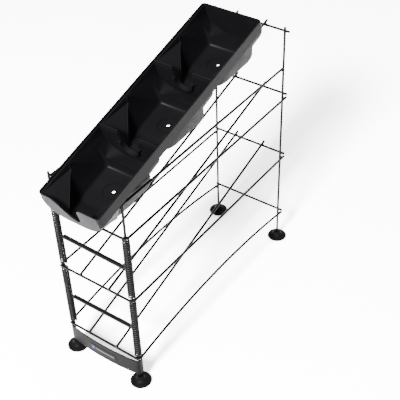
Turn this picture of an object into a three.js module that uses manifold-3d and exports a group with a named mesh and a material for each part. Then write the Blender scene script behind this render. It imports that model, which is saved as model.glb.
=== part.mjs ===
// Three-level gravity-feed paint rack: welded wire frame, spring-held stop bars, three-bin tray.
// Millimetres, +Z up, front of the rack towards -Y, origin on the ground under the middle of the
// whole object. The pieces are laid out from the front posts (y = 0) and moved back at the end.
import * as THREE from 'three';
import { mergeVertices } from 'three/addons/utils/BufferGeometryUtils.js';
import { ConvexGeometry } from 'three/addons/geometries/ConvexGeometry.js';
import Module from 'manifold-3d';

const wasm = await Module();
wasm.setup();

// ---- driving dimensions -------------------------------------------------
const LEG_X = 60;            // leg centre line, left and right
const REAR_Y = 372;          // rear leg centre line; the front posts stand at y = 0
const WIRE_R = 1.8;          // all frame wire
const WIRE_SIDES = 8;
const TOUCH = 0.3;           // gap left where two pieces touch
const BESIDE = 2 * WIRE_R + TOUCH;   // centre distance of two wires lying against each other
const LEG_BOTTOM = 8;
const REAR_TOP = 396;
const POST_TOP = 329;
const TOP_RAIL_Z = 325;
const LEVELS = [52, 167.5, 278];     // side rails and front rods
const REAR_RODS = [57, 173.5, 284, 388];
const ROD_STUB = 4.5;        // how far a cross rod runs past the leg
const FLOOR_X = 25;          // sloping wires, each side of the centre
const ARCH = 17;             // rise of the lowest side rails

const SPRING_R = 4.3;        // coil centre radius
const SPRING_WIRE = 1.1;     // spring wire radius
const SPRING_TURNS = 18;
const SPRING_GAP = 4;        // between a spring's end and the rods above and below it

const BAR_R = 3.2;           // sleeve of a stop bar
const BAR_HALF = 50.8;       // half the sleeve's length
const PIN_R = 1.3;           // wire that runs out of the sleeve into the spring
const BAR_ENDS = [[109.5, 111], [224, 221.5]];   // heights of left and right end, lower and upper bar

const FOOT_R = 15.5;
const FOOT_HUB = 11.6;

const PLATE_Z = [19.5, 47];  // label plate, bottom and top edge
const PLATE_T = 1.5;
const PLATE_BOW = 4.6;
const PLATE_FRONT = 4.3;     // plate centre line in front of a leg

const TRAY_TILT = THREE.MathUtils.degToRad(15.9);
const TRAY_FRONT = [12.7, -43.7, 336.1];   // middle of the rim's front edge
const TRAY_SCALE = 0.979;    // shrinkage of the moulding against the nominal sizes below
const TRAY_HALF = 49.4;
const TRAY_LONG = 373.5;
const TRAY_BAND = 17;
const TRAY_WALL = 2;
const BINS = 3;
const PITCH = TRAY_LONG / BINS;
const LEDGE = 3;             // the bins start this far below the rim
const REAR_OUTLINE = [[46.2, 3], [45, 18], [42, 27], [36.5, 35], [27, 41.5], [14, 45], [5, 46]];
const FRONT_OUTLINE = [[46.6, 4], [45.4, 15], [42.7, 22], [36, 30.5], [26, 34.5], [10, 36]];
const HOLE_R = 2.6;
const SCOOP_RUN = 5;         // how far a scoop's channel reaches over the bin in front
const SCOOP_R = 13.5;
const SCOOP_DEEP = 34;
const SPOUT_DEEP = 28;       // the notch in the front wall of the tray
const ORIGIN_Y = 171.9;      // middle of the whole object, from the front posts

// ---- materials ----------------------------------------------------------
const coated = new THREE.MeshStandardMaterial({ color: 0x17181a, roughness: 0.35, metalness: 0.2 });
const springSteel = new THREE.MeshStandardMaterial({ color: 0x1b1c1e, roughness: 0.4, metalness: 0.3 });
const trayPlastic = new THREE.MeshStandardMaterial({ color: 0x1d1d20, roughness: 0.45, metalness: 0 });
const platePlastic = new THREE.MeshStandardMaterial({ color: 0x1a1918, roughness: 0.4, metalness: 0 });
const rubber = new THREE.MeshStandardMaterial({ color: 0x121213, roughness: 0.7, metalness: 0 });
const paper = new THREE.MeshStandardMaterial({ color: 0xd8dade, roughness: 0.6, metalness: 0 });

// ---- helpers ------------------------------------------------------------
const group = new THREE.Group();

function put(name, geometry, material) {
  const mesh = new THREE.Mesh(geometry, material);
  mesh.name = name;
  group.add(mesh);
  return mesh;
}

function disc(radius, sides) {
  const shape = new THREE.Shape();
  for (let i = 0; i < sides; i++) {
    const a = ((i + 0.5) / sides) * 2 * Math.PI;
    const x = radius * Math.cos(a);
    const y = radius * Math.sin(a);
    if (i === 0) {
      shape.moveTo(x, y);
    } else {
      shape.lineTo(x, y);
    }
  }
  shape.closePath();
  return shape;
}

// A round bar along a curve, closed at both ends.
function bar(curve, radius, steps, sides = WIRE_SIDES) {
  return new THREE.ExtrudeGeometry(disc(radius, sides), {
    steps,
    extrudePath: curve,
    bevelEnabled: false,
  });
}

function straight(a, b, radius = WIRE_R) {
  return bar(new THREE.LineCurve3(new THREE.Vector3(...a), new THREE.Vector3(...b)), radius, 1);
}

// A polyline with short straight pieces, followed exactly by the extrusion steps.
class Polyline extends THREE.Curve {
  constructor(points) {
    super();
    this.points = points;
  }
  getPoint(t) {
    const n = this.points.length - 1;
    const i = Math.min(Math.floor(t * n), n - 1);
    return this.points[i].clone().lerp(this.points[i + 1], t * n - i);
  }
  getPointAt(t) {
    return this.getPoint(t);
  }
  getTangentAt(t) {
    const step = 0.5 / (this.points.length - 1);
    const a = this.getPoint(Math.max(0, t - step));
    const b = this.getPoint(Math.min(1, t + step));
    return b.sub(a).normalize();
  }
  getTangent(t) {
    return this.getTangentAt(t);
  }
}

function alongPoints(list, radius, sides = WIRE_SIDES) {
  const points = list.map((p) => new THREE.Vector3(...p));
  return bar(new Polyline(points), radius, points.length - 1, sides);
}

function solid(geometry) {
  const plain = new THREE.BufferGeometry();
  plain.setAttribute('position', geometry.getAttribute('position'));
  if (geometry.index) {
    plain.setIndex(geometry.index);
  }
  const merged = mergeVertices(plain, 1e-4);
  return new wasm.Manifold(new wasm.Mesh({
    numProp: 3,
    vertProperties: new Float32Array(merged.getAttribute('position').array),
    triVerts: new Uint32Array(merged.index.array),
  }));
}

function geometryOf(manifold) {
  const mesh = manifold.getMesh();
  const geometry = new THREE.BufferGeometry();
  geometry.setAttribute('position', new THREE.BufferAttribute(mesh.vertProperties, 3));
  geometry.setIndex(new THREE.BufferAttribute(mesh.triVerts, 1));
  return geometry;
}

function block(x0, x1, y0, y1, z0, z1) {
  const box = new THREE.BoxGeometry(x1 - x0, y1 - y0, z1 - z0);
  box.translate((x0 + x1) / 2, (y0 + y1) / 2, (z0 + z1) / 2);
  return solid(box);
}

// ---- rear legs and front posts ------------------------------------------
const sides = [['left', -1], ['right', 1]];

for (const [side, s] of sides) {
  put(`rear_${side}_leg`, straight([s * LEG_X, REAR_Y, LEG_BOTTOM], [s * LEG_X, REAR_Y, REAR_TOP]), coated);
  put(`front_${side}_post`, straight([s * LEG_X, 0, LEG_BOTTOM], [s * LEG_X, 0, POST_TOP]), coated);
}

// ---- side rails, outside the legs; the lowest pair is arched, the top pair inside ----
const railX = LEG_X + BESIDE;
const railEnds = [-1.5, REAR_Y + 5];
for (const [side, s] of sides) {
  const arch = [];
  for (let i = 0; i <= 12; i++) {
    const t = i / 12;
    const y = railEnds[0] + t * (railEnds[1] - railEnds[0]);
    arch.push([s * railX, y, LEVELS[0] + ARCH * (1 - (2 * t - 1) ** 2)]);
  }
  put(`${side}_rail_low`, alongPoints(arch, WIRE_R), coated);
  put(`${side}_rail_mid`, straight([s * railX, railEnds[0], LEVELS[1]], [s * railX, railEnds[1], LEVELS[1]]), coated);
  put(`${side}_rail_high`, straight([s * railX, railEnds[0], LEVELS[2]], [s * railX, railEnds[1], LEVELS[2]]), coated);
  const topX = s * (LEG_X - BESIDE);
  put(`${side}_rail_top`, straight([topX, railEnds[0], TOP_RAIL_Z], [topX, railEnds[1], TOP_RAIL_Z]), coated);
}

// ---- cross rods, outside the legs ----------------------------------------
const rodX = LEG_X + ROD_STUB;
const frontRodY = -BESIDE;
const rearRodY = REAR_Y + BESIDE;
const floorNames = ['low', 'mid', 'high', 'top'];
for (let i = 0; i < LEVELS.length; i++) {
  put(`front_rod_${floorNames[i]}`, straight([-rodX + 1, frontRodY, LEVELS[i]], [rodX - 1, frontRodY, LEVELS[i]]), coated);
}
for (let i = 0; i < REAR_RODS.length; i++) {
  put(`rear_rod_${floorNames[i]}`, straight([-rodX - 1, rearRodY, REAR_RODS[i]], [rodX + 1, rearRodY, REAR_RODS[i]]), coated);
}

// ---- sloped floor wires, welded on top of the rods -----------------------
// Each runs from a front rod up to the next higher rear rod and a little past it.
function sloped(x, zFront, zRear) {
  const slope = (zRear - zFront) / (rearRodY - frontRodY);
  const lift = BESIDE * Math.sqrt(1 + slope * slope);
  const at = (y) => zFront + lift + slope * (y - frontRodY);
  const y0 = frontRodY - 2.5;
  const y1 = rearRodY + 5;
  return straight([x, y0, at(y0)], [x, y1, at(y1)]);
}

for (let i = 0; i < 2; i++) {
  for (const [side, s] of sides) {
    const name = `floor_wire_${floorNames[i]}_${side}`;
    put(name, sloped(s * FLOOR_X, LEVELS[i], REAR_RODS[i + 1]), coated);
  }
}
for (const [side, s] of sides) {
  put(`tray_carrier_${side}`, sloped(s * FLOOR_X, LEVELS[2], REAR_RODS[3]), coated);
}

// ---- springs on the front posts ------------------------------------------
const springSpans = [
  ['low', LEVELS[0] + SPRING_GAP, LEVELS[1] - SPRING_GAP],
  ['high', LEVELS[1] + SPRING_GAP, LEVELS[2] - SPRING_GAP],
];
for (const [level, z0, z1] of springSpans) {
  for (const [side, s] of sides) {
    const coil = [];
    const n = SPRING_TURNS * 6;
    for (let i = 0; i <= n; i++) {
      const a = (i / 6) * 2 * Math.PI;
      coil.push([
        s * LEG_X + SPRING_R * Math.cos(a),
        SPRING_R * Math.sin(a),
        z0 + (i / n) * (z1 - z0),
      ]);
    }
    put(`spring_${level}_${side}`, alongPoints(coil, SPRING_WIRE * 1.1, 4), springSteel);
  }
}

// ---- stop bars between the springs: a sleeve on a wire whose ends reach the coils ----
const pinEnd = LEG_X - SPRING_R - SPRING_WIRE - 0.6;
const barProfile = [
  [0, -pinEnd], [PIN_R, -pinEnd], [PIN_R, -BAR_HALF], [BAR_R - 0.6, -BAR_HALF], [BAR_R, 0.6 - BAR_HALF],
  [BAR_R, BAR_HALF - 0.6], [BAR_R - 0.6, BAR_HALF], [PIN_R, BAR_HALF], [PIN_R, pinEnd], [0, pinEnd],
].map(([r, along]) => new THREE.Vector2(r, along));
for (const [i, level] of ['low', 'high'].entries()) {
  const [zLeft, zRight] = BAR_ENDS[i];
  const stop = new THREE.LatheGeometry(barProfile, 12);
  stop.rotateZ(-Math.PI / 2);
  stop.rotateY(-Math.atan2(zRight - zLeft, 2 * pinEnd));
  stop.translate(0, 0, (zLeft + zRight) / 2);
  put(`stop_bar_${level}`, stop, coated);
}

// ---- feet: soft discs with a hub around the leg end ----------------------
const footProfile = [
  [0, 0], [FOOT_R - 1.5, 0], [FOOT_R, 1.2], [FOOT_R, 2.8], [FOOT_R - 4, 4.4], [7.5, 6],
  [5.4, 8.5], [5, FOOT_HUB], [WIRE_R + TOUCH, FOOT_HUB], [WIRE_R + TOUCH, LEG_BOTTOM - TOUCH], [0, LEG_BOTTOM - TOUCH],
].map(([r, z]) => new THREE.Vector2(r, z));
for (const [end, y] of [['front', 0], ['rear', REAR_Y]]) {
  for (const [side, s] of sides) {
    const foot = new THREE.LatheGeometry(footProfile, 18);
    foot.rotateX(Math.PI / 2);
    foot.translate(s * LEG_X, y, 0);
    put(`foot_${end}_${side}`, foot, rubber);
  }
}

// ---- bowed label plate, clipped over the front legs ----------------------
function plateLine(offset) {
  const line = [];
  const clip = BESIDE - WIRE_R + PLATE_T / 2 + 0.05;
  line.push([-(LEG_X + clip) - offset, 4]);
  line.push([-(LEG_X + clip) - offset, -1]);
  for (let i = 0; i <= 12; i++) {
    const u = -1 + i / 6;
    line.push([u * (LEG_X + 0.5 + offset * 0.5), -PLATE_FRONT - PLATE_BOW * (1 - u * u) - offset]);
  }
  line.push([LEG_X + clip + offset, -1]);
  line.push([LEG_X + clip + offset, 4]);
  return line;
}

function strip(inner, outer, z0, z1) {
  const shape = new THREE.Shape();
  const ring = inner.concat(outer.slice().reverse());
  ring.forEach(([x, y], i) => {
    if (i === 0) {
      shape.moveTo(x, y);
    } else {
      shape.lineTo(x, y);
    }
  });
  shape.closePath();
  const geometry = new THREE.ExtrudeGeometry(shape, { depth: z1 - z0, bevelEnabled: false });
  geometry.translate(0, 0, z0);
  return geometry;
}

put('label_plate', strip(plateLine(-PLATE_T / 2), plateLine(PLATE_T / 2), PLATE_Z[0], PLATE_Z[1]), platePlastic);

const bow = (x) => -PLATE_FRONT - PLATE_BOW * (1 - (x / LEG_X) ** 2) - PLATE_T / 2;
const labelXs = [-21, -12, -3, 6, 15, 24];
const labelInner = labelXs.map((x) => [x, bow(x) - 0.35]);
const labelOuter = labelXs.map((x) => [x, bow(x) - 0.75]);
put('blank_label', strip(labelInner, labelOuter, 27, 38), paper);

// ---- tray: modelled level (x, v, -depth), then tilted ----------------------
function hull(half) {
  const points = [];
  for (const [x, v, z] of half) {
    points.push(new THREE.Vector3(x, v, z));
    points.push(new THREE.Vector3(-x, v, z));
  }
  return solid(new ConvexGeometry(points));
}

function hollowTop(grow) {
  return grow > 0 ? -LEDGE - 1 : -LEDGE + 0.05;
}

// Depth of the bin floor where it meets the notch in its front wall.
function floorAtFront(i) {
  return i > 0 ? SCOOP_DEEP + 2 : SPOUT_DEEP + 4;
}

// The round-bottomed trough at the rear of a bin, which runs out up the side walls.
function trough(i, grow) {
  const v0 = i * PITCH;
  const top = hollowTop(grow);
  const rim = Math.min(grow, 1);
  const half = [
    [45.2 + rim, v0 + 54 - grow, top],
    [43.5 + grow, v0 + 68 - grow, -11 - grow],
    [40 + grow, v0 + 86 - grow, -25 - grow],
    [34 + grow, v0 + 102 - grow, -41 - grow],
  ];
  for (const [x, depth] of REAR_OUTLINE) {
    half.push(depth <= LEDGE ? [x + rim, v0 + 122.6 + grow * 0.8, top] : [x + grow, v0 + 122.6 + grow * 0.8, -depth - grow]);
  }
  return hull(half);
}

// The deep part, which widens and deepens from the scoop towards the rear.
function sump(i, grow) {
  const v0 = i * PITCH;
  const top = hollowTop(grow);
  const rim = Math.min(grow, 1);
  return hull([
    [13 + rim, v0 + 2.4 - grow, top], [45 + rim, v0 + 54 - grow, top], [45 + rim, v0 + 108 + grow, top],
    [36.5 + grow, v0 + 104 + grow, -58.6 - grow], [30 + grow, v0 + 38 - grow * 0.3, -52 - grow],
    [11 + grow, v0 + 2.4 - grow, -floorAtFront(i) - grow],
  ]);
}

// The sloping shoulders at the front corners of a bin.
function shoulders(i, grow) {
  const v0 = i * PITCH;
  const front = v0 + (i > 0 ? 2 - grow * 1.3 : 2 - grow);
  const top = hollowTop(grow);
  const rim = Math.min(grow, 1);
  return hull([
    [45 + rim, front, top], [45 + rim, v0 + 56, top], [44.5 + rim, v0 + 54 + grow, -13 - grow],
    [12 + grow, front, -floorAtFront(i) - grow],
  ]);
}

// The rounded skirt of the front wall, from the front face back to the first belly.
function frontSkirt() {
  const half = [[46, 50, -4], [32, 38, -54]];
  for (const [x, depth] of FRONT_OUTLINE) {
    half.push([x, 0, -depth]);
  }
  return hull(half);
}

// A round-bottomed channel along v: the scoop itself, or the spout that holds it when grown.
function channel(v0, v1, deep, grow, top) {
  const shape = new THREE.Shape();
  const radius = SCOOP_R + grow;
  shape.moveTo(-radius - 3.5, top);
  for (let i = 0; i <= 8; i++) {
    const a = Math.PI + (i / 8) * Math.PI;
    shape.lineTo(radius * Math.cos(a), SCOOP_R - deep + radius * Math.sin(a));
  }
  shape.lineTo(radius + 3.5, top);
  shape.closePath();
  const geometry = new THREE.ExtrudeGeometry(shape, { depth: v1 - v0, bevelEnabled: false });
  geometry.rotateX(Math.PI / 2);
  geometry.translate(0, v1, 0);
  return solid(geometry);
}

let tray = block(-TRAY_HALF, TRAY_HALF, 0, TRAY_LONG, -TRAY_BAND, 0);
tray = tray.subtract(block(
  TRAY_WALL - TRAY_HALF, TRAY_HALF - TRAY_WALL, TRAY_WALL, TRAY_LONG - TRAY_WALL, -TRAY_BAND - 1, -LEDGE - TRAY_WALL,
));
for (let i = 0; i < BINS; i++) {
  tray = tray.add(trough(i, TRAY_WALL));
  tray = tray.add(sump(i, TRAY_WALL));
  tray = tray.add(shoulders(i, TRAY_WALL));
}
tray = tray.add(frontSkirt());
for (let i = 0; i < BINS; i++) {
  const v0 = i * PITCH;
  const end = v0 + PITCH - (i === BINS - 1 ? TRAY_WALL : 0.4);
  tray = tray.subtract(block(TRAY_WALL - TRAY_HALF, TRAY_HALF - TRAY_WALL, v0 + 1.6, end, -LEDGE, 1));
  tray = tray.subtract(trough(i, 0));
  tray = tray.subtract(sump(i, 0));
  tray = tray.subtract(shoulders(i, 0));
}
for (let i = 0; i < BINS; i++) {
  const v0 = i * PITCH;
  if (i > 0) {
    tray = tray.add(channel(v0 - SCOOP_RUN, v0 + 2.4, SCOOP_DEEP, TRAY_WALL, -LEDGE - 14));
    tray = tray.subtract(channel(v0 - SCOOP_RUN - 1, v0 + 4, SCOOP_DEEP, 0, 1));
  } else {
    tray = tray.subtract(channel(-2, 4, SPOUT_DEEP, 0, 1));
  }
  const drill = new THREE.CylinderGeometry(HOLE_R, HOLE_R, 30, 10);
  drill.rotateX(Math.PI / 2);
  drill.translate(0, v0 + 71, -58);
  tray = tray.subtract(solid(drill));
}
const trayMesh = put('tray', geometryOf(tray), trayPlastic);
trayMesh.scale.setScalar(TRAY_SCALE);
trayMesh.rotation.x = TRAY_TILT;
trayMesh.position.set(...TRAY_FRONT);

group.position.y = -ORIGIN_Y;
export default group;
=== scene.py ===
import math

import bmesh
import bpy
from mathutils import Matrix, Vector, noise


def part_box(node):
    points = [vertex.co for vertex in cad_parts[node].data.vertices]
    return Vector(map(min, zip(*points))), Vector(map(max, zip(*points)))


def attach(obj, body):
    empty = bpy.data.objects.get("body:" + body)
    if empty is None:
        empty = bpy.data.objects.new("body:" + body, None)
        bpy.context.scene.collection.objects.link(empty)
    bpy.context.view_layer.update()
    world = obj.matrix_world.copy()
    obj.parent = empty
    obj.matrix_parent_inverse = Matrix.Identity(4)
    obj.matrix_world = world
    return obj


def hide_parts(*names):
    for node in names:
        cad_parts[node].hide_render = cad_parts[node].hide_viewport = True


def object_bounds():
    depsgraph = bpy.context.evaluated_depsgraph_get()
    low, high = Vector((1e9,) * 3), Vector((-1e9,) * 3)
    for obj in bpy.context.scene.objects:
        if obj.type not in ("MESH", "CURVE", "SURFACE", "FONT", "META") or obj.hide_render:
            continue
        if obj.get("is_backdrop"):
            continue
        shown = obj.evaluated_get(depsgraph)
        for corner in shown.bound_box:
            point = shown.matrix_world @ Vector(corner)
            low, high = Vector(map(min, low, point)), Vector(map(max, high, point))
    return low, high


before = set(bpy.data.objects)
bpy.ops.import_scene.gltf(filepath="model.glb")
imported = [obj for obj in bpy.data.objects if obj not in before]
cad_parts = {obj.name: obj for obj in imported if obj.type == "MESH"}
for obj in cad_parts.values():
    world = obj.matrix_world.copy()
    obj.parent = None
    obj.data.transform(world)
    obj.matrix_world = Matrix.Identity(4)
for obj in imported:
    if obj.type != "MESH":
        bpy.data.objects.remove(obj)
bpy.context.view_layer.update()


# ---------------------------------------------------------------------------
# Legs and posts. Straight drawn steel wire, cut square with the burr rolled
# off, standing in the four feet and tied together by the rails and rods.
# Everything in the welded rack is dipped in the same gloss black coating.
# ---------------------------------------------------------------------------
MM = 0.001
WIRE_R = 1.8 * MM
HALF_WIRE = WIRE_R * math.cos(math.radians(22.5))    # half height of a wire's box in the frame


def sweep(name, path, radius, sides=20, fillet=0.5 * MM):
    """A round bar along a path, its two ends rolled over by the fillet."""
    path = [Vector(p) for p in path]
    tangents = []
    for i in range(len(path)):
        a = path[max(0, i - 1)]
        b = path[min(len(path) - 1, i + 1)]
        tangents.append((b - a).normalized())
    rolled = []
    for k in range(4):
        a = math.radians(30 * k)
        rolled.append((fillet * (1 - math.cos(a)), radius - fillet * (1 - math.sin(a))))
    rings = [(path[0] + tangents[0] * inset, 0, r) for inset, r in rolled]
    rings += [(path[i], i, radius) for i in range(1, len(path) - 1)]
    rings += [(path[-1] - tangents[-1] * inset, -1, r) for inset, r in reversed(rolled)]
    side = tangents[0].orthogonal().normalized()
    bm = bmesh.new()
    rows = []
    for centre, i, r in rings:
        t = tangents[i]
        side = (side - t * side.dot(t)).normalized()
        over = t.cross(side)
        row = []
        for k in range(sides):
            a = 2 * math.pi * k / sides
            row.append(bm.verts.new(centre + (side * math.cos(a) + over * math.sin(a)) * r))
        rows.append(row)
    for low, high in zip(rows, rows[1:]):
        for k in range(sides):
            j = (k + 1) % sides
            bm.faces.new((low[k], low[j], high[j], high[k]))
    bm.faces.new(rows[0][::-1])
    bm.faces.new(rows[-1])
    return made(name, bm)


def linked(name, bm):
    """Turns a finished bmesh into an object in the scene."""
    bmesh.ops.recalc_face_normals(bm, faces=bm.faces)
    mesh = bpy.data.meshes.new(name)
    bm.to_mesh(mesh)
    bm.free()
    piece = bpy.data.objects.new(name, mesh)
    bpy.context.scene.collection.objects.link(piece)
    return piece


def made(name, bm, angle=40):
    """A visible object, smooth except over real edges."""
    piece = linked(name, bm)
    piece.data.shade_smooth()
    piece.data.set_sharp_from_angle(angle=math.radians(angle))
    return piece


class Value:
    """One shader output, which adds its Math node when it is used in a sum."""

    def __init__(self, finish, socket):
        self.finish = finish
        self.socket = socket

    def sum(self, operation, first, second):
        return self.finish.node("Math", {"operation": operation}, {0: first, 1: second})

    def __add__(self, other):
        return self.sum("ADD", self, other)

    def __radd__(self, other):
        return self.sum("ADD", other, self)

    def __sub__(self, other):
        return self.sum("SUBTRACT", self, other)

    def __rsub__(self, other):
        return self.sum("SUBTRACT", other, self)

    def __mul__(self, other):
        return self.sum("MULTIPLY", self, other)

    def __rmul__(self, other):
        return self.sum("MULTIPLY", other, self)

    def __gt__(self, other):
        return self.sum("GREATER_THAN", self, other)

    def __lt__(self, other):
        return self.sum("LESS_THAN", self, other)


class Finish:
    """A material under construction."""

    def __init__(self, name):
        self.material = bpy.data.materials.new(name)
        self.material.use_nodes = True
        self.tree = self.material.node_tree
        self.tree.nodes.clear()

    def node(self, kind, settings=None, sockets=None, out=0):
        n = self.tree.nodes.new("ShaderNode" + kind)
        for key, value in (settings or {}).items():
            setattr(n, key, value)
        for key, value in (sockets or {}).items():
            if isinstance(value, Value):
                self.tree.links.new(value.socket, n.inputs[key])
            else:
                n.inputs[key].default_value = value
        return Value(self, n.outputs[out]) if n.outputs else None

    def place(self):
        """Object coordinates, so the grain keeps its size."""
        return self.node("TexCoord", out=3)

    def grain(self, scale, detail=3.0, rough=0.5):
        return self.node("TexNoise", {}, {"Vector": self.place(), "Scale": scale,
                                          "Detail": detail, "Roughness": rough})

    def blend(self, mask, low, high):
        return self.node("Mix", {"data_type": "RGBA"}, {0: mask, 6: low, 7: high}, out=2)

    def surface(self, **sockets):
        names = {key.replace("_", " ").title().replace("Ior", "IOR"): value
                 for key, value in sockets.items()}
        shader = self.node("BsdfPrincipled", {}, names)
        self.node("OutputMaterial", {}, {"Surface": shader})
        return self.material


def wear(piece, material, body, slot, *nodes):
    """Puts the finish on a piece, lets it ride on its body and stand for its nodes."""
    piece.data.materials.clear()
    piece.data.materials.append(material)
    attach(piece, body)
    if nodes:
        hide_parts(*nodes)
    return piece


def gloss_coating():
    f = Finish("gloss_black_coating")
    flow = f.grain(240, 4.0)
    fine = f.grain(1900, 3.0)
    pale = f.grain(35, 5.0, 0.6)
    skin = f.node("Bump", {}, {"Strength": 0.16, "Distance": 0.0003, "Height": flow * 0.7 + fine * 0.3})
    colour = f.blend(pale, (0.0003, 0.0003, 0.0003, 1), (0.0008, 0.0008, 0.0009, 1))
    return f.surface(base_color=colour, roughness=0.24 + flow * 0.16, normal=skin,
                     specular_ior_level=0.03)


coating = gloss_coating()


def middle(node):
    low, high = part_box(node)
    return (low + high) / 2


for side in ("left", "right"):
    for node in (f"rear_{side}_leg", f"front_{side}_post"):
        low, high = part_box(node)
        at = middle(node)
        upright = sweep("wire_" + node, [(at.x, at.y, low.z), (at.x, at.y, high.z)], WIRE_R)
        wear(upright, coating, "frame", "black_coating", node)


# ---------------------------------------------------------------------------
# Side rails. One wire per level and side, welded on the outside of the legs
# and running a little past them; the lowest pair is bowed up in the middle
# and the top pair is welded on the inside, beside the tray.
# ---------------------------------------------------------------------------
RAIL_RISE = 17 * MM
RAIL_END = 0.2 * MM          # the arched wire is trimmed this much, as its ends lean

for side in ("left", "right"):
    for level in ("mid", "high", "top"):
        low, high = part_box(f"{side}_rail_{level}")
        at = middle(f"{side}_rail_{level}")
        rail = sweep(f"rail_{level}_{side}", [(at.x, low.y, at.z), (at.x, high.y, at.z)], WIRE_R)
        wear(rail, coating, "frame", "black_coating", f"{side}_rail_{level}")
    low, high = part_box(f"{side}_rail_low")
    x = (low.x + high.x) / 2
    foot = high.z - HALF_WIRE - RAIL_RISE
    path = []
    for i in range(33):
        t = i / 32
        y = low.y + RAIL_END + t * (high.y - low.y - 2 * RAIL_END)
        path.append((x, y, foot + RAIL_RISE * (1 - (2 * t - 1) ** 2)))
    rail = sweep(f"rail_low_{side}", path, WIRE_R)
    wear(rail, coating, "frame", "black_coating", f"{side}_rail_low")


# ---------------------------------------------------------------------------
# Cross rods, front and rear. Straight wires welded across the outside of the
# legs; their cut ends show a few millimetres past the leg on each side.
# ---------------------------------------------------------------------------
for row, levels in (("front", ("low", "mid", "high")),
                    ("rear", ("low", "mid", "high", "top"))):
    for level in levels:
        node = f"{row}_rod_{level}"
        low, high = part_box(node)
        at = middle(node)
        rod = sweep(f"rod_{row}_{level}", [(low.x, at.y, at.z), (high.x, at.y, at.z)], WIRE_R)
        wear(rod, coating, "frame", "black_coating", node)


# ---------------------------------------------------------------------------
# Sloping wires. Two per level for the bottles to roll on and two that carry the
# tray, each welded on top of a front rod and the next rear rod up.
# ---------------------------------------------------------------------------
for node in ("floor_wire_low_left", "floor_wire_low_right", "floor_wire_mid_left",
             "floor_wire_mid_right", "tray_carrier_left", "tray_carrier_right"):
    low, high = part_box(node)
    run, rise = high.y - low.y, high.z - low.z
    # The box holds the wire's thickness too, so the lean of its centre line is found in steps.
    lean = math.atan2(rise, run)
    for _ in range(8):
        lean = math.atan2(rise - 2 * HALF_WIRE * math.cos(lean),
                          run - 2 * HALF_WIRE * math.sin(lean))
    dy, dz = HALF_WIRE * math.sin(lean), HALF_WIRE * math.cos(lean)
    x = (low.x + high.x) / 2
    ends = [(x, low.y + dy, low.z + dz), (x, high.y - dy, high.z - dz)]
    wire = sweep("sloping_" + node, ends, WIRE_R)
    wear(wire, coating, "frame", "black_coating", node)


# ---------------------------------------------------------------------------
# Welds. A small lump of melted wire where each pair of wires touches, covered
# by the same coating.
# ---------------------------------------------------------------------------
WELD_R = 2.1 * MM
WELD_ABOVE = 1.95 * MM       # height over a rod's centre line of a weld on top of it


def weld(bm, place, along):
    """Adds one lump, long along the wire and a little different at each place."""
    seed = noise.noise(Vector(place) * 900.0)
    lump = bmesh.ops.create_icosphere(bm, subdivisions=3, radius=WELD_R)["verts"]
    turn = Vector(along).to_track_quat("X", "Z").to_matrix().to_4x4()
    for v in lump:
        v.co *= 1 + 0.14 * noise.noise(v.co * 700.0 + Vector((seed * 40, 0, 0)))
        v.co.x *= 1.35 + 0.2 * seed
        v.co.y *= 0.72
        v.co.z *= 0.72
        v.co = turn @ v.co + Vector(place)


lumps = bmesh.new()
for side in ("left", "right"):
    rear = middle(f"rear_{side}_leg")
    front = middle(f"front_{side}_post")
    for level in ("low", "mid", "high", "top"):
        rail = middle(f"{side}_rail_{level}")
        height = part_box(f"{side}_rail_{level}")[0].z + HALF_WIRE
        for post in (front, rear):
            weld(lumps, ((post.x + rail.x) / 2, post.y, height), (0, 1, 0))
        rod = middle(f"rear_rod_{level}")
        weld(lumps, (rear.x, (rear.y + rod.y) / 2, rod.z), (1, 0, 0))
        if level != "top":
            rod = middle(f"front_rod_{level}")
            weld(lumps, (front.x, (front.y + rod.y) / 2, rod.z), (1, 0, 0))
    for wire, level, above in (("floor_wire_low", "low", "mid"),
                               ("floor_wire_mid", "mid", "high"),
                               ("tray_carrier", "high", "top")):
        for rod in (middle(f"front_rod_{level}"), middle(f"rear_rod_{above}")):
            weld(lumps, (middle(f"{wire}_{side}").x, rod.y, rod.z + WELD_ABOVE), (1, 0, 0))
welds = made("welds", lumps, 180)
wear(welds, coating, "frame", "black_coating")


# ---------------------------------------------------------------------------
# Springs. Coils of black spring wire threaded on the front posts between the
# cross rods; they pinch the wire ends of the stop bars between their turns.
# ---------------------------------------------------------------------------
COIL_R = 4.1 * MM
COIL_WIRE_R = 1.25 * MM
COIL_TURNS = 26
COIL_STEPS = 24              # points in a turn
COIL_SHUT = 0.022            # share of the length by which each end turn is closed up


def spring_finish():
    f = Finish("black_spring_wire")
    drawn = f.grain(1200, 4.0)
    patch = f.grain(160, 4.0)
    skin = f.node("Bump", {}, {"Strength": 0.2, "Distance": 0.0002, "Height": drawn})
    colour = f.blend(patch, (0.0003, 0.0003, 0.0003, 1), (0.0007, 0.0007, 0.0008, 1))
    return f.surface(base_color=colour, roughness=0.28 + patch * 0.18, normal=skin,
                     specular_ior_level=0.03)


spring_steel = spring_finish()

for level in ("low", "high"):
    for side in ("left", "right"):
        node = f"spring_{level}_{side}"
        low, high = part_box(node)
        post = middle(f"front_{side}_post")
        z0, z1 = low.z + COIL_WIRE_R, high.z - COIL_WIRE_R
        path = []
        for i in range(COIL_TURNS * COIL_STEPS + 1):
            turn = i / COIL_STEPS
            rest = COIL_TURNS - turn
            shut = min(turn, rest, 1.0)
            share = turn / COIL_TURNS
            squeeze = (1 - shut) * COIL_SHUT * (1 if rest < turn else -1)
            a = 2 * math.pi * turn
            path.append((post.x + COIL_R * math.cos(a), post.y + COIL_R * math.sin(a),
                         z0 + (z1 - z0) * min(1, max(0, share + squeeze))))
        coil = sweep(f"coil_{level}_{side}", path, COIL_WIRE_R, 12, 0.3 * MM)
        wear(coil, spring_steel, "frame", "spring_steel", node)


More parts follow.
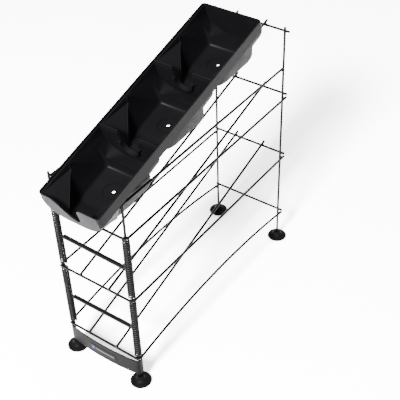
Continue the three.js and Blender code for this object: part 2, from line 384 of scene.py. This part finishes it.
# ---------------------------------------------------------------------------
# Stop bars. A smooth black sleeve on a wire, between the springs; the ends of
# the wire reach the coils, which hold the bar at any height.
# ---------------------------------------------------------------------------
SLEEVE_R = 3.2               # these are in millimetres, as the profile is
SLEEVE_END = 50.8
SLEEVE_ROUND = 0.8
PIN_R = 1.25
PIN_CHAMFER = 0.3


def lathe(name, profile, place, sides=64):
    """A turned piece from a profile of radius and height in millimetres, on its placed Z axis."""
    bm = bmesh.new()
    rows = []
    for r, z in profile:
        if r == 0:
            rows.append([bm.verts.new(place @ Vector((0, 0, z * MM)))])
            continue
        rows.append([bm.verts.new(place @ Vector((r * MM * math.cos(2 * math.pi * k / sides),
                                                  r * MM * math.sin(2 * math.pi * k / sides), z * MM)))
                     for k in range(sides)])
    for low, high in zip(rows, rows[1:]):
        for k in range(sides):
            j = (k + 1) % sides
            ring = [low[k % len(low)], low[j % len(low)], high[j % len(high)], high[k % len(high)]]
            bm.faces.new(list(dict.fromkeys(ring)))
    return made(name, bm)


for level, body, falls in (("low", "lower_bar", -1), ("high", "upper_bar", 1)):
    node = f"stop_bar_{level}"
    low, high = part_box(node)
    reach = (high.x - low.x) / 2 / MM
    half = [(0, reach), (PIN_R - PIN_CHAMFER, reach), (PIN_R, reach - PIN_CHAMFER),
            (PIN_R, SLEEVE_END - 0.3), (1.6, SLEEVE_END)]
    for i in range(7):
        a = math.radians(90 - 15 * i)
        half.append((SLEEVE_R - SLEEVE_ROUND + SLEEVE_ROUND * math.cos(a),
                     SLEEVE_END - SLEEVE_ROUND + SLEEVE_ROUND * math.sin(a)))
    profile = half + [(SLEEVE_R, z) for z in (25, 0, -25)] + [(r, -z) for r, z in reversed(half)]
    drop = (high.z - low.z - 2 * SLEEVE_R * MM) * falls
    lean = math.radians(90) + math.atan2(drop, high.x - low.x)
    place = Matrix.Translation(middle(node)) @ Matrix.Rotation(lean, 4, "Y")
    bar = lathe(f"bar_{level}", profile, place, 32)
    wear(bar, coating, body, "black_coating", node)


# ---------------------------------------------------------------------------
# Feet. Soft moulded rubber discs with a flared skirt and a hub pushed onto
# the cut end of each leg.
# ---------------------------------------------------------------------------
FOOT_PROFILE = [(0, 0), (12.8, 0), (14.0, 0.15), (14.9, 0.6), (15.35, 1.3), (15.45, 2.2),
                (15.2, 2.9), (14.5, 3.4), (12.6, 4.0), (10.2, 4.75), (8.2, 5.7), (6.8, 7.0),
                (5.9, 8.4), (5.45, 9.8), (5.3, 10.8), (5.0, 11.35), (4.4, 11.6), (2.7, 11.6),
                (2.3, 11.3), (2.15, 10.8), (2.1, 7.8), (0, 7.75)]


def rubber_finish():
    f = Finish("black_rubber")
    dust = f.grain(120, 5.0, 0.65)
    pores = f.grain(2600, 2.0)
    skin = f.node("Bump", {}, {"Strength": 0.25, "Distance": 0.0002, "Height": pores})
    colour = f.blend(dust, (0.0003, 0.0003, 0.0003, 1), (0.0008, 0.0008, 0.0008, 1))
    return f.surface(base_color=colour, roughness=0.46 + dust * 0.2, normal=skin,
                     specular_ior_level=0.012)


rubber = rubber_finish()
for end in ("front", "rear"):
    for side in ("left", "right"):
        node = f"foot_{end}_{side}"
        low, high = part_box(node)
        place = Matrix.Translation(((low.x + high.x) / 2, (low.y + high.y) / 2, low.z))
        foot = lathe(f"rubber_{node}", FOOT_PROFILE, place)
        wear(foot, rubber, "frame", "foot_rubber", node)


# ---------------------------------------------------------------------------
# Label plate. A strip of dark plastic sprung forward into a bow, its two ends
# turned back round the outside of the front posts; a small dark label with a
# blue square and a pale line is stuck on its front.
# ---------------------------------------------------------------------------
PLATE_T = 1.5 * MM
PLATE_BOW = 4.6 * MM
PLATE_FRONT = 4.3 * MM
PLATE_CLIP = 63.0 * MM       # the turned ends, from the middle
LABEL_T = 0.3 * MM
LABEL_OFF = 0.25 * MM        # centre of the label in front of the plate's face


def plate_finish():
    f = Finish("dark_plate_plastic")
    cloud = f.grain(60, 4.0)
    fine = f.grain(2200, 3.0)
    skin = f.node("Bump", {}, {"Strength": 0.15, "Distance": 0.0002, "Height": fine})
    colour = f.blend(cloud, (0.0006, 0.00055, 0.0005, 1), (0.0010, 0.0009, 0.0008, 1))
    return f.surface(base_color=colour, roughness=0.36 + cloud * 0.16, normal=skin,
                     specular_ior_level=0.012)


def label_finish(left, middle_z):
    f = Finish("printed_label")
    parts = {"X": 0, "Z": 2}
    x, z = [f.node("SeparateXYZ", {}, {0: f.place()}, out=parts[axis]) for axis in ("X", "Z")]
    fibre = f.grain(1500, 3.0)

    def printed(start, end, half):
        """A mask for a box this far from the label's left edge, half a height each way."""
        return ((x > left + start * MM) * (x < left + end * MM)
                * (z > middle_z - half * MM) * (z < middle_z + half * MM))

    blue = printed(0.8, 5.8, 2.6)
    line = printed(8.5, 42, 0.8)
    ground = f.blend(fibre, (0.0006, 0.0005, 0.00045, 1), (0.0010, 0.0009, 0.0008, 1))
    colour = f.blend(line, ground, (0.03, 0.029, 0.029, 1))
    colour = f.blend(blue, colour, (0.004, 0.016, 0.06, 1))
    return f.surface(base_color=colour, roughness=0.38 + fibre * 0.1, specular_ior_level=0.015)


def band(name, line, z0, z1, thick, rows=6):
    """A strip that follows a line seen from above, bevelled round its edges."""
    bm = bmesh.new()
    normals = []
    for i in range(len(line)):
        a = Vector(line[max(0, i - 1)])
        b = Vector(line[min(len(line) - 1, i + 1)])
        t = (b - a).normalized()
        normals.append(Vector((t.y, -t.x)))
    sheets = []
    for offset in (thick / 2, -thick / 2):
        grid = []
        for k in range(rows + 1):
            z = z0 + (z1 - z0) * k / rows
            grid.append([bm.verts.new((p[0] + n.x * offset, p[1] + n.y * offset, z))
                         for p, n in zip(line, normals)])
        sheets.append(grid)
    outer, inner = sheets
    n = len(line)
    for k in range(rows):
        for i in range(n - 1):
            bm.faces.new((outer[k][i], outer[k][i + 1], outer[k + 1][i + 1], outer[k + 1][i]))
            bm.faces.new((inner[k][i + 1], inner[k][i], inner[k + 1][i], inner[k + 1][i + 1]))
        bm.faces.new((inner[k][0], outer[k][0], outer[k + 1][0], inner[k + 1][0]))
        bm.faces.new((outer[k][n - 1], inner[k][n - 1], inner[k + 1][n - 1], outer[k + 1][n - 1]))
    for i in range(n - 1):
        bm.faces.new((inner[0][i], inner[0][i + 1], outer[0][i + 1], outer[0][i]))
        bm.faces.new((outer[rows][i], outer[rows][i + 1], inner[rows][i + 1], inner[rows][i]))
    piece = made(name, bm)
    soft = piece.modifiers.new("edge", "BEVEL")
    soft.width = thick * 0.22
    soft.segments = 3
    soft.limit_method = "ANGLE"
    soft.angle_limit = math.radians(60)
    return piece


low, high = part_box("label_plate")
leg_x = middle("front_right_post").x
leg_y = middle("front_right_post").y
line = [(-PLATE_CLIP + dx * MM, leg_y + dy * MM)
        for dx, dy in ((0, 3.9), (0, 1.5), (0, -1.2), (0.5, -2.8), (1.5, -3.9))]
for i in range(33):
    u = -0.985 + 1.97 * i / 32
    line.append((u * leg_x, leg_y - PLATE_FRONT - PLATE_BOW * (1 - u * u)))
line += [(-px, py) for px, py in reversed(line[:5])]
plate = band("plate", line, low.z, high.z, PLATE_T)
wear(plate, plate_finish(), "frame", "plate_plastic", "label_plate")

low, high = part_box("blank_label")
line = []
for i in range(17):
    x = low.x + (high.x - low.x) * i / 16
    plate_y = leg_y - PLATE_FRONT - PLATE_BOW * (1 - (x / leg_x) ** 2)
    line.append((x, plate_y - PLATE_T / 2 - LABEL_OFF))
label = band("label", line, low.z, high.z, LABEL_T, 2)
wear(label, label_finish(low.x, middle("blank_label").z), "frame", "label_paper", "blank_label")


# ---------------------------------------------------------------------------
# Tray. One injection moulding in fine satin black plastic: a deep rim round
# three bins, each a trough with a sump that narrows to a scoop in its front
# wall, and a drain hole in a ring in each floor.
# ---------------------------------------------------------------------------
TRAY_TILT = math.radians(15.9)
TRAY_HALF = 49.4
TRAY_LONG = 373.5
TRAY_BAND = 17.0
WALL = 2.0
BIN = TRAY_LONG / 3
LEDGE = 3.0
SPOUT_RUN = 5.0
SCOOP_R = 13.5
SCOOP_DEEP = 34.0
NOTCH_DEEP = 28.0
SUMP_ROUND = 4.0
CORNER_R = 5.5
SHRINK = 0.979         # the moulding came out this much smaller than the sizes here


def tool(name, bm, round_by=0.0):
    """A solid to join to the moulding or cut from it, its edges rounded on request."""
    bmesh.ops.recalc_face_normals(bm, faces=bm.faces)
    bmesh.ops.dissolve_limit(bm, angle_limit=math.radians(1), verts=bm.verts, edges=bm.edges)
    if round_by:
        bmesh.ops.bevel(bm, geom=list(bm.edges), offset=round_by, offset_type="OFFSET", segments=4,
                        profile=0.5, affect="EDGES", clamp_overlap=True)
    return linked(name, bm)


def block(name, x0, x1, v0, v1, w0, w1):
    """A plain block, in millimetres in the tray's own level frame: across, along, up."""
    return hull(name, [(x, v, w) for x in (x0, x1) for v in (v0, v1) for w in (w0, w1)])


def hull(name, points, round_by=0.0):
    """The convex solid round some points."""
    bm = bmesh.new()
    for p in points:
        bm.verts.new(p)
    bmesh.ops.convex_hull(bm, input=bm.verts)
    spare = [v for v in bm.verts if not v.link_faces]
    bmesh.ops.delete(bm, geom=spare, context="VERTS")
    return tool(name, bm, round_by)


def combine(body, part, how):
    """Applies a part to the body for good and removes it."""
    step = body.modifiers.new("step", "BOOLEAN")
    step.operation = how
    step.solver = "EXACT"
    step.object = part
    bpy.context.view_layer.update()
    result = bpy.data.meshes.new_from_object(body.evaluated_get(bpy.context.evaluated_depsgraph_get()))
    body.modifiers.clear()
    body.data = result
    bpy.data.objects.remove(part)


def hollow_top(grow):
    """Top of a bin's cutter, or of the solid round it, which stays under the ledge."""
    return -LEDGE + 0.4 if grow == 0 else -LEDGE - 1


def floor_at_front(i):
    """Depth of the bin floor where it meets the notch or the scoop in its front wall."""
    return SCOOP_DEEP + 2 if i else NOTCH_DEEP + 4


def mirrored(points):
    return [(-x, v, w) for x, v, w in points]


def trough(i, grow):
    """The round-bottomed trough at the rear of a bin, which runs out up the side walls."""
    v0 = i * BIN
    rear = v0 + 122.6 + grow * 0.8
    rim = min(grow, 1)
    top = hollow_top(grow)
    points = [(46.2 + rim, rear, top), (45.2 + rim, v0 + 54 - grow, top),
              (43.5 + grow, v0 + 68 - grow, -11 - grow), (40 + grow, v0 + 86 - grow, -25 - grow),
              (34 + grow, v0 + 102 - grow, -41 - grow)]
    for k in range(16):
        a = math.radians(12 + 78 * k / 15)
        points.append((46.2 * math.cos(a) ** 0.74 + grow, rear, -46 * math.sin(a) ** 0.74 - grow))
    return hull("trough", points + mirrored(points))


def sump(i, grow):
    """The deep part of a bin, which widens and deepens from the scoop towards the rear."""
    v0 = i * BIN
    rim = min(grow, 1)
    top = hollow_top(grow)
    points = [(13 + rim, v0 + 2.4 - grow, top), (45 + rim, v0 + 54 - grow, top),
              (45 + rim, v0 + 108 + grow, top), (36.5 + grow, v0 + 104 + grow, -58.6 - grow),
              (30 + grow, v0 + 38 - grow * 0.3, -52 - grow),
              (11 + grow, v0 + 2.4 - grow, -floor_at_front(i) - grow)]
    return hull("sump", points + mirrored(points), SUMP_ROUND + (WALL + 0.5 if grow else 0))


def shoulders(i, grow):
    """The sloping shoulders at the front corners of a bin."""
    v0 = i * BIN
    front = v0 + 2 - grow * (1.3 if i else 1)
    rim = 45 + min(grow, 1)
    top = hollow_top(grow)
    points = [(rim, front, top), (rim, v0 + 56, top), (rim - 0.5, v0 + 54 + grow, -13 - grow),
              (12 + grow, front, -floor_at_front(i) - grow)]
    return hull("shoulders", points + mirrored(points))


def front_skirt():
    """The rounded outside of the front wall, back to the first belly."""
    points = [(46, 50, -4), (32, 38, -54), (42, 44, -24)]
    for k in range(16):
        a = math.radians(6 + 84 * k / 15)
        points.append((46.6 * math.cos(a) ** 0.62, 0, -36 * math.sin(a) ** 0.62))
    return hull("skirt", points + mirrored(points))


def prism(name, outline, v0, v1):
    """An outline of across and up, drawn out along the tray."""
    bm = bmesh.new()
    near = [bm.verts.new((x, v0, w)) for x, w in outline]
    far = [bm.verts.new((x, v1, w)) for x, w in outline]
    n = len(outline)
    for i in range(n):
        j = (i + 1) % n
        bm.faces.new((near[i], near[j], far[j], far[i]))
    bm.faces.new(near[::-1])
    bm.faces.new(far)
    return tool(name, bm)


def channel(v0, v1, grow, top):
    """A round-bottomed channel: the scoop in a divider, or the spout that holds it when grown."""
    radius = SCOOP_R + grow
    outline = [(-radius - 3.5, top)]
    for k in range(25):
        a = math.pi + math.pi * k / 24
        outline.append((radius * math.cos(a), SCOOP_R - SCOOP_DEEP + radius * math.sin(a)))
    outline.append((radius + 3.5, top))
    return prism("channel", outline, v0, v1)


def spout_notch():
    """The notch in the front wall: a long easy slope on the left, steep on the right."""
    outline = [(-34, 1)]
    for k in range(19):
        t = k / 18
        outline.append((-33 + 39 * t, -NOTCH_DEEP * t * t * (3 - 2 * t)))
    for k in range(1, 7):
        a = math.radians(15 * k)
        outline.append((6 + 6.5 * math.sin(a), -NOTCH_DEEP + 6.5 - 6.5 * math.cos(a)))
    for k in range(7):
        a = math.radians(15 * k)
        outline.append((20.5 - 8 * math.cos(a), -8 + 8 * math.sin(a)))
    outline.append((20.5, 1))
    return prism("notch", outline, -3, 4.5)


def turned(name, profile, at, lean, solid, sides=48):
    """A round cutter on a leaning axis: solid with flat ends, or a ring from a closed profile."""
    bm = bmesh.new()
    turn = Matrix.Translation(at) @ Matrix.Rotation(lean, 4, "X")
    angles = [2 * math.pi * k / sides for k in range(sides)]
    rows = [[bm.verts.new(turn @ Vector((r * math.cos(a), r * math.sin(a), z))) for a in angles]
            for r, z in profile]
    following = rows[1:] if solid else rows[1:] + rows[:1]
    for low, high in zip(rows, following):
        for k in range(sides):
            j = (k + 1) % sides
            bm.faces.new((low[k], low[j], high[j], high[k]))
    if solid:
        bm.faces.new(rows[0][::-1])
        bm.faces.new(rows[-1])
    return linked(name, bm)


tray = block("moulding", -TRAY_HALF, TRAY_HALF, 0, TRAY_LONG, -TRAY_BAND, 0)
bm = bmesh.new()
bm.from_mesh(tray.data)
upright = [e for e in bm.edges if abs(e.verts[0].co.z - e.verts[1].co.z) > 1]
bmesh.ops.bevel(bm, geom=upright, offset=CORNER_R, offset_type="OFFSET", segments=8, profile=0.5,
                affect="EDGES")
bm.to_mesh(tray.data)
bm.free()
under = block("under", -TRAY_HALF + WALL, TRAY_HALF - WALL, WALL, TRAY_LONG - WALL,
              -TRAY_BAND - 1, -LEDGE - WALL)
combine(tray, under, "DIFFERENCE")
for i in range(3):
    combine(tray, trough(i, WALL), "UNION")
    combine(tray, sump(i, WALL), "UNION")
    combine(tray, shoulders(i, WALL), "UNION")
combine(tray, front_skirt(), "UNION")
for i in range(3):
    end = (i + 1) * BIN - (WALL if i == 2 else 0.4)
    ledge = block("ledge", -TRAY_HALF + 1.8, TRAY_HALF - 1.8, i * BIN + 1.6, end, -LEDGE, 1)
    combine(tray, ledge, "DIFFERENCE")
    combine(tray, trough(i, 0), "DIFFERENCE")
    combine(tray, sump(i, 0), "DIFFERENCE")
    combine(tray, shoulders(i, 0), "DIFFERENCE")
for i in range(3):
    v0 = i * BIN
    if i:
        combine(tray, channel(v0 - SPOUT_RUN, v0 + 2.4, WALL, -LEDGE - 14), "UNION")
        combine(tray, channel(v0 - SPOUT_RUN - 1, v0 + 4, 0, 1), "DIFFERENCE")
    else:
        combine(tray, spout_notch(), "DIFFERENCE")
    lean = -math.atan2(6.6, 66)        # the slope of the bin floor
    centre = Vector((0, v0 + 71, -55.3))
    drain = turned("drain", [(2.5, -9), (2.5, 9)], centre, lean, True)
    combine(tray, drain, "DIFFERENCE")
    ring = turned("ring", [(12.6, -1.0), (15.4, -1.0), (15.4, 3), (12.6, 3)], centre, lean, False)
    combine(tray, ring, "DIFFERENCE")


def tray_finish():
    f = Finish("satin_black_moulding")
    cloud = f.grain(28, 5.0, 0.6)
    fine = f.grain(2600, 3.0)
    specks = f.grain(700, 2.0)
    skin = f.node("Bump", {}, {"Strength": 0.22, "Distance": 0.00025,
                               "Height": fine * 0.6 + specks * 0.4})
    scuffs = (f.grain(90, 8.0, 0.75) - 0.55) * 4.0 * (cloud > 0.45)
    scuffs = f.node("Clamp", {}, {0: scuffs})
    colour = f.blend(cloud, (0.0006, 0.00057, 0.0007, 1), (0.0011, 0.00105, 0.00125, 1))
    return f.surface(base_color=colour, roughness=0.38 + cloud * 0.14 + scuffs * 0.08, normal=skin,
                     specular_ior_level=0.018)


size = SHRINK * MM
low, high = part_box("tray")
front_z = high.z - TRAY_LONG * size * math.sin(TRAY_TILT)
place = Matrix.Translation(((low.x + high.x) / 2, low.y, front_z))
tray.data.transform(place @ Matrix.Rotation(TRAY_TILT, 4, "X") @ Matrix.Scale(size, 4))
bm = bmesh.new()
bm.from_mesh(tray.data)
bmesh.ops.remove_doubles(bm, verts=bm.verts, dist=0.00002)
bmesh.ops.dissolve_limit(bm, angle_limit=math.radians(0.6), verts=bm.verts, edges=bm.edges)
bm.to_mesh(tray.data)
bm.free()
tray.data.shade_smooth()
tray.data.set_sharp_from_angle(angle=math.radians(35))
tray.name = "bin_tray"
soft = tray.modifiers.new("edge", "BEVEL")
soft.width = 0.55 * MM
soft.segments = 2
soft.limit_method = "ANGLE"
soft.angle_limit = math.radians(35)
soft.harden_normals = True
wear(tray, tray_finish(), "bin_tray", "tray_plastic", "tray")


# ---------------------------------------------------------------------------
# Studio. A pale seamless floor, a strong soft light high in front, which throws
# a faint shadow to the rear, weaker ones at the right and behind, and a pale
# surround.
# ---------------------------------------------------------------------------
def floor_finish():
    f = Finish("studio_paper")
    faint = f.grain(3, 2.0)
    colour = f.blend(faint, (0.86, 0.86, 0.86, 1), (0.89, 0.89, 0.89, 1))
    return f.surface(base_color=colour, roughness=0.9, specular_ior_level=0.1)


FLOOR_HALF = 6
CAMERA_AT = (0.6086, -0.7539, 0.9947)
CAMERA_LENS = 78.127
SURROUND = 2.3

bm = bmesh.new()
for x, y in ((-1, -1), (1, -1), (1, 1), (-1, 1)):
    bm.verts.new((x * FLOOR_HALF, y * FLOOR_HALF, 0))
bm.faces.new(bm.verts)
floor = made("floor", bm)
floor.data.materials.append(floor_finish())
floor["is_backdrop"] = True

# Each lamp has its place, its width, its power in watts and the point it is turned to.
LAMPS = {"key": ((0.4, -2.5, 2.4), 0.7, 2300, (0, 0, 0.25)),
         "side": ((1.9, -1.4, 1.5), 1.6, 40, (0, 0, 0.25)),
         "back": ((-0.4, 2.2, 2.2), 1.6, 160, (0, 0, 0.3))}

for name, (at, width, power, aim) in LAMPS.items():
    lamp = bpy.data.lights.new(name, "AREA")
    lamp.shape = "DISK"
    lamp.size = width
    lamp.energy = power
    light = bpy.data.objects.new(name, lamp)
    light.location = at
    light.rotation_mode = "QUATERNION"
    light.rotation_quaternion = (Vector(aim) - Vector(at)).to_track_quat("-Z", "Y")
    bpy.context.scene.collection.objects.link(light)

world = bpy.data.worlds.new("surround")
world.use_nodes = True
surround = world.node_tree.nodes["Background"]
surround.inputs["Color"].default_value = (1, 1, 1, 1)
surround.inputs["Strength"].default_value = SURROUND
bpy.context.scene.world = world

azimuth, elevation, roll = math.radians(36.595), math.radians(39.780), math.radians(-1.994)
back = Vector((math.sin(azimuth) * math.cos(elevation), -math.cos(azimuth) * math.cos(elevation),
               math.sin(elevation)))
across = Vector((math.cos(azimuth), math.sin(azimuth), 0))
up = back.cross(across)
right = across * math.cos(roll) + up * math.sin(roll)
over = back.cross(right)
lens = bpy.data.cameras.new("camera")
lens.sensor_width = 36
lens.lens = CAMERA_LENS
camera = bpy.data.objects.new("camera", lens)
camera.matrix_world = Matrix.Translation(CAMERA_AT) @ Matrix((
    (right.x, over.x, back.x, 0), (right.y, over.y, back.y, 0), (right.z, over.z, back.z, 0),
    (0, 0, 0, 1)))
bpy.context.scene.collection.objects.link(camera)
bpy.context.scene.camera = camera

low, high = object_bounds()
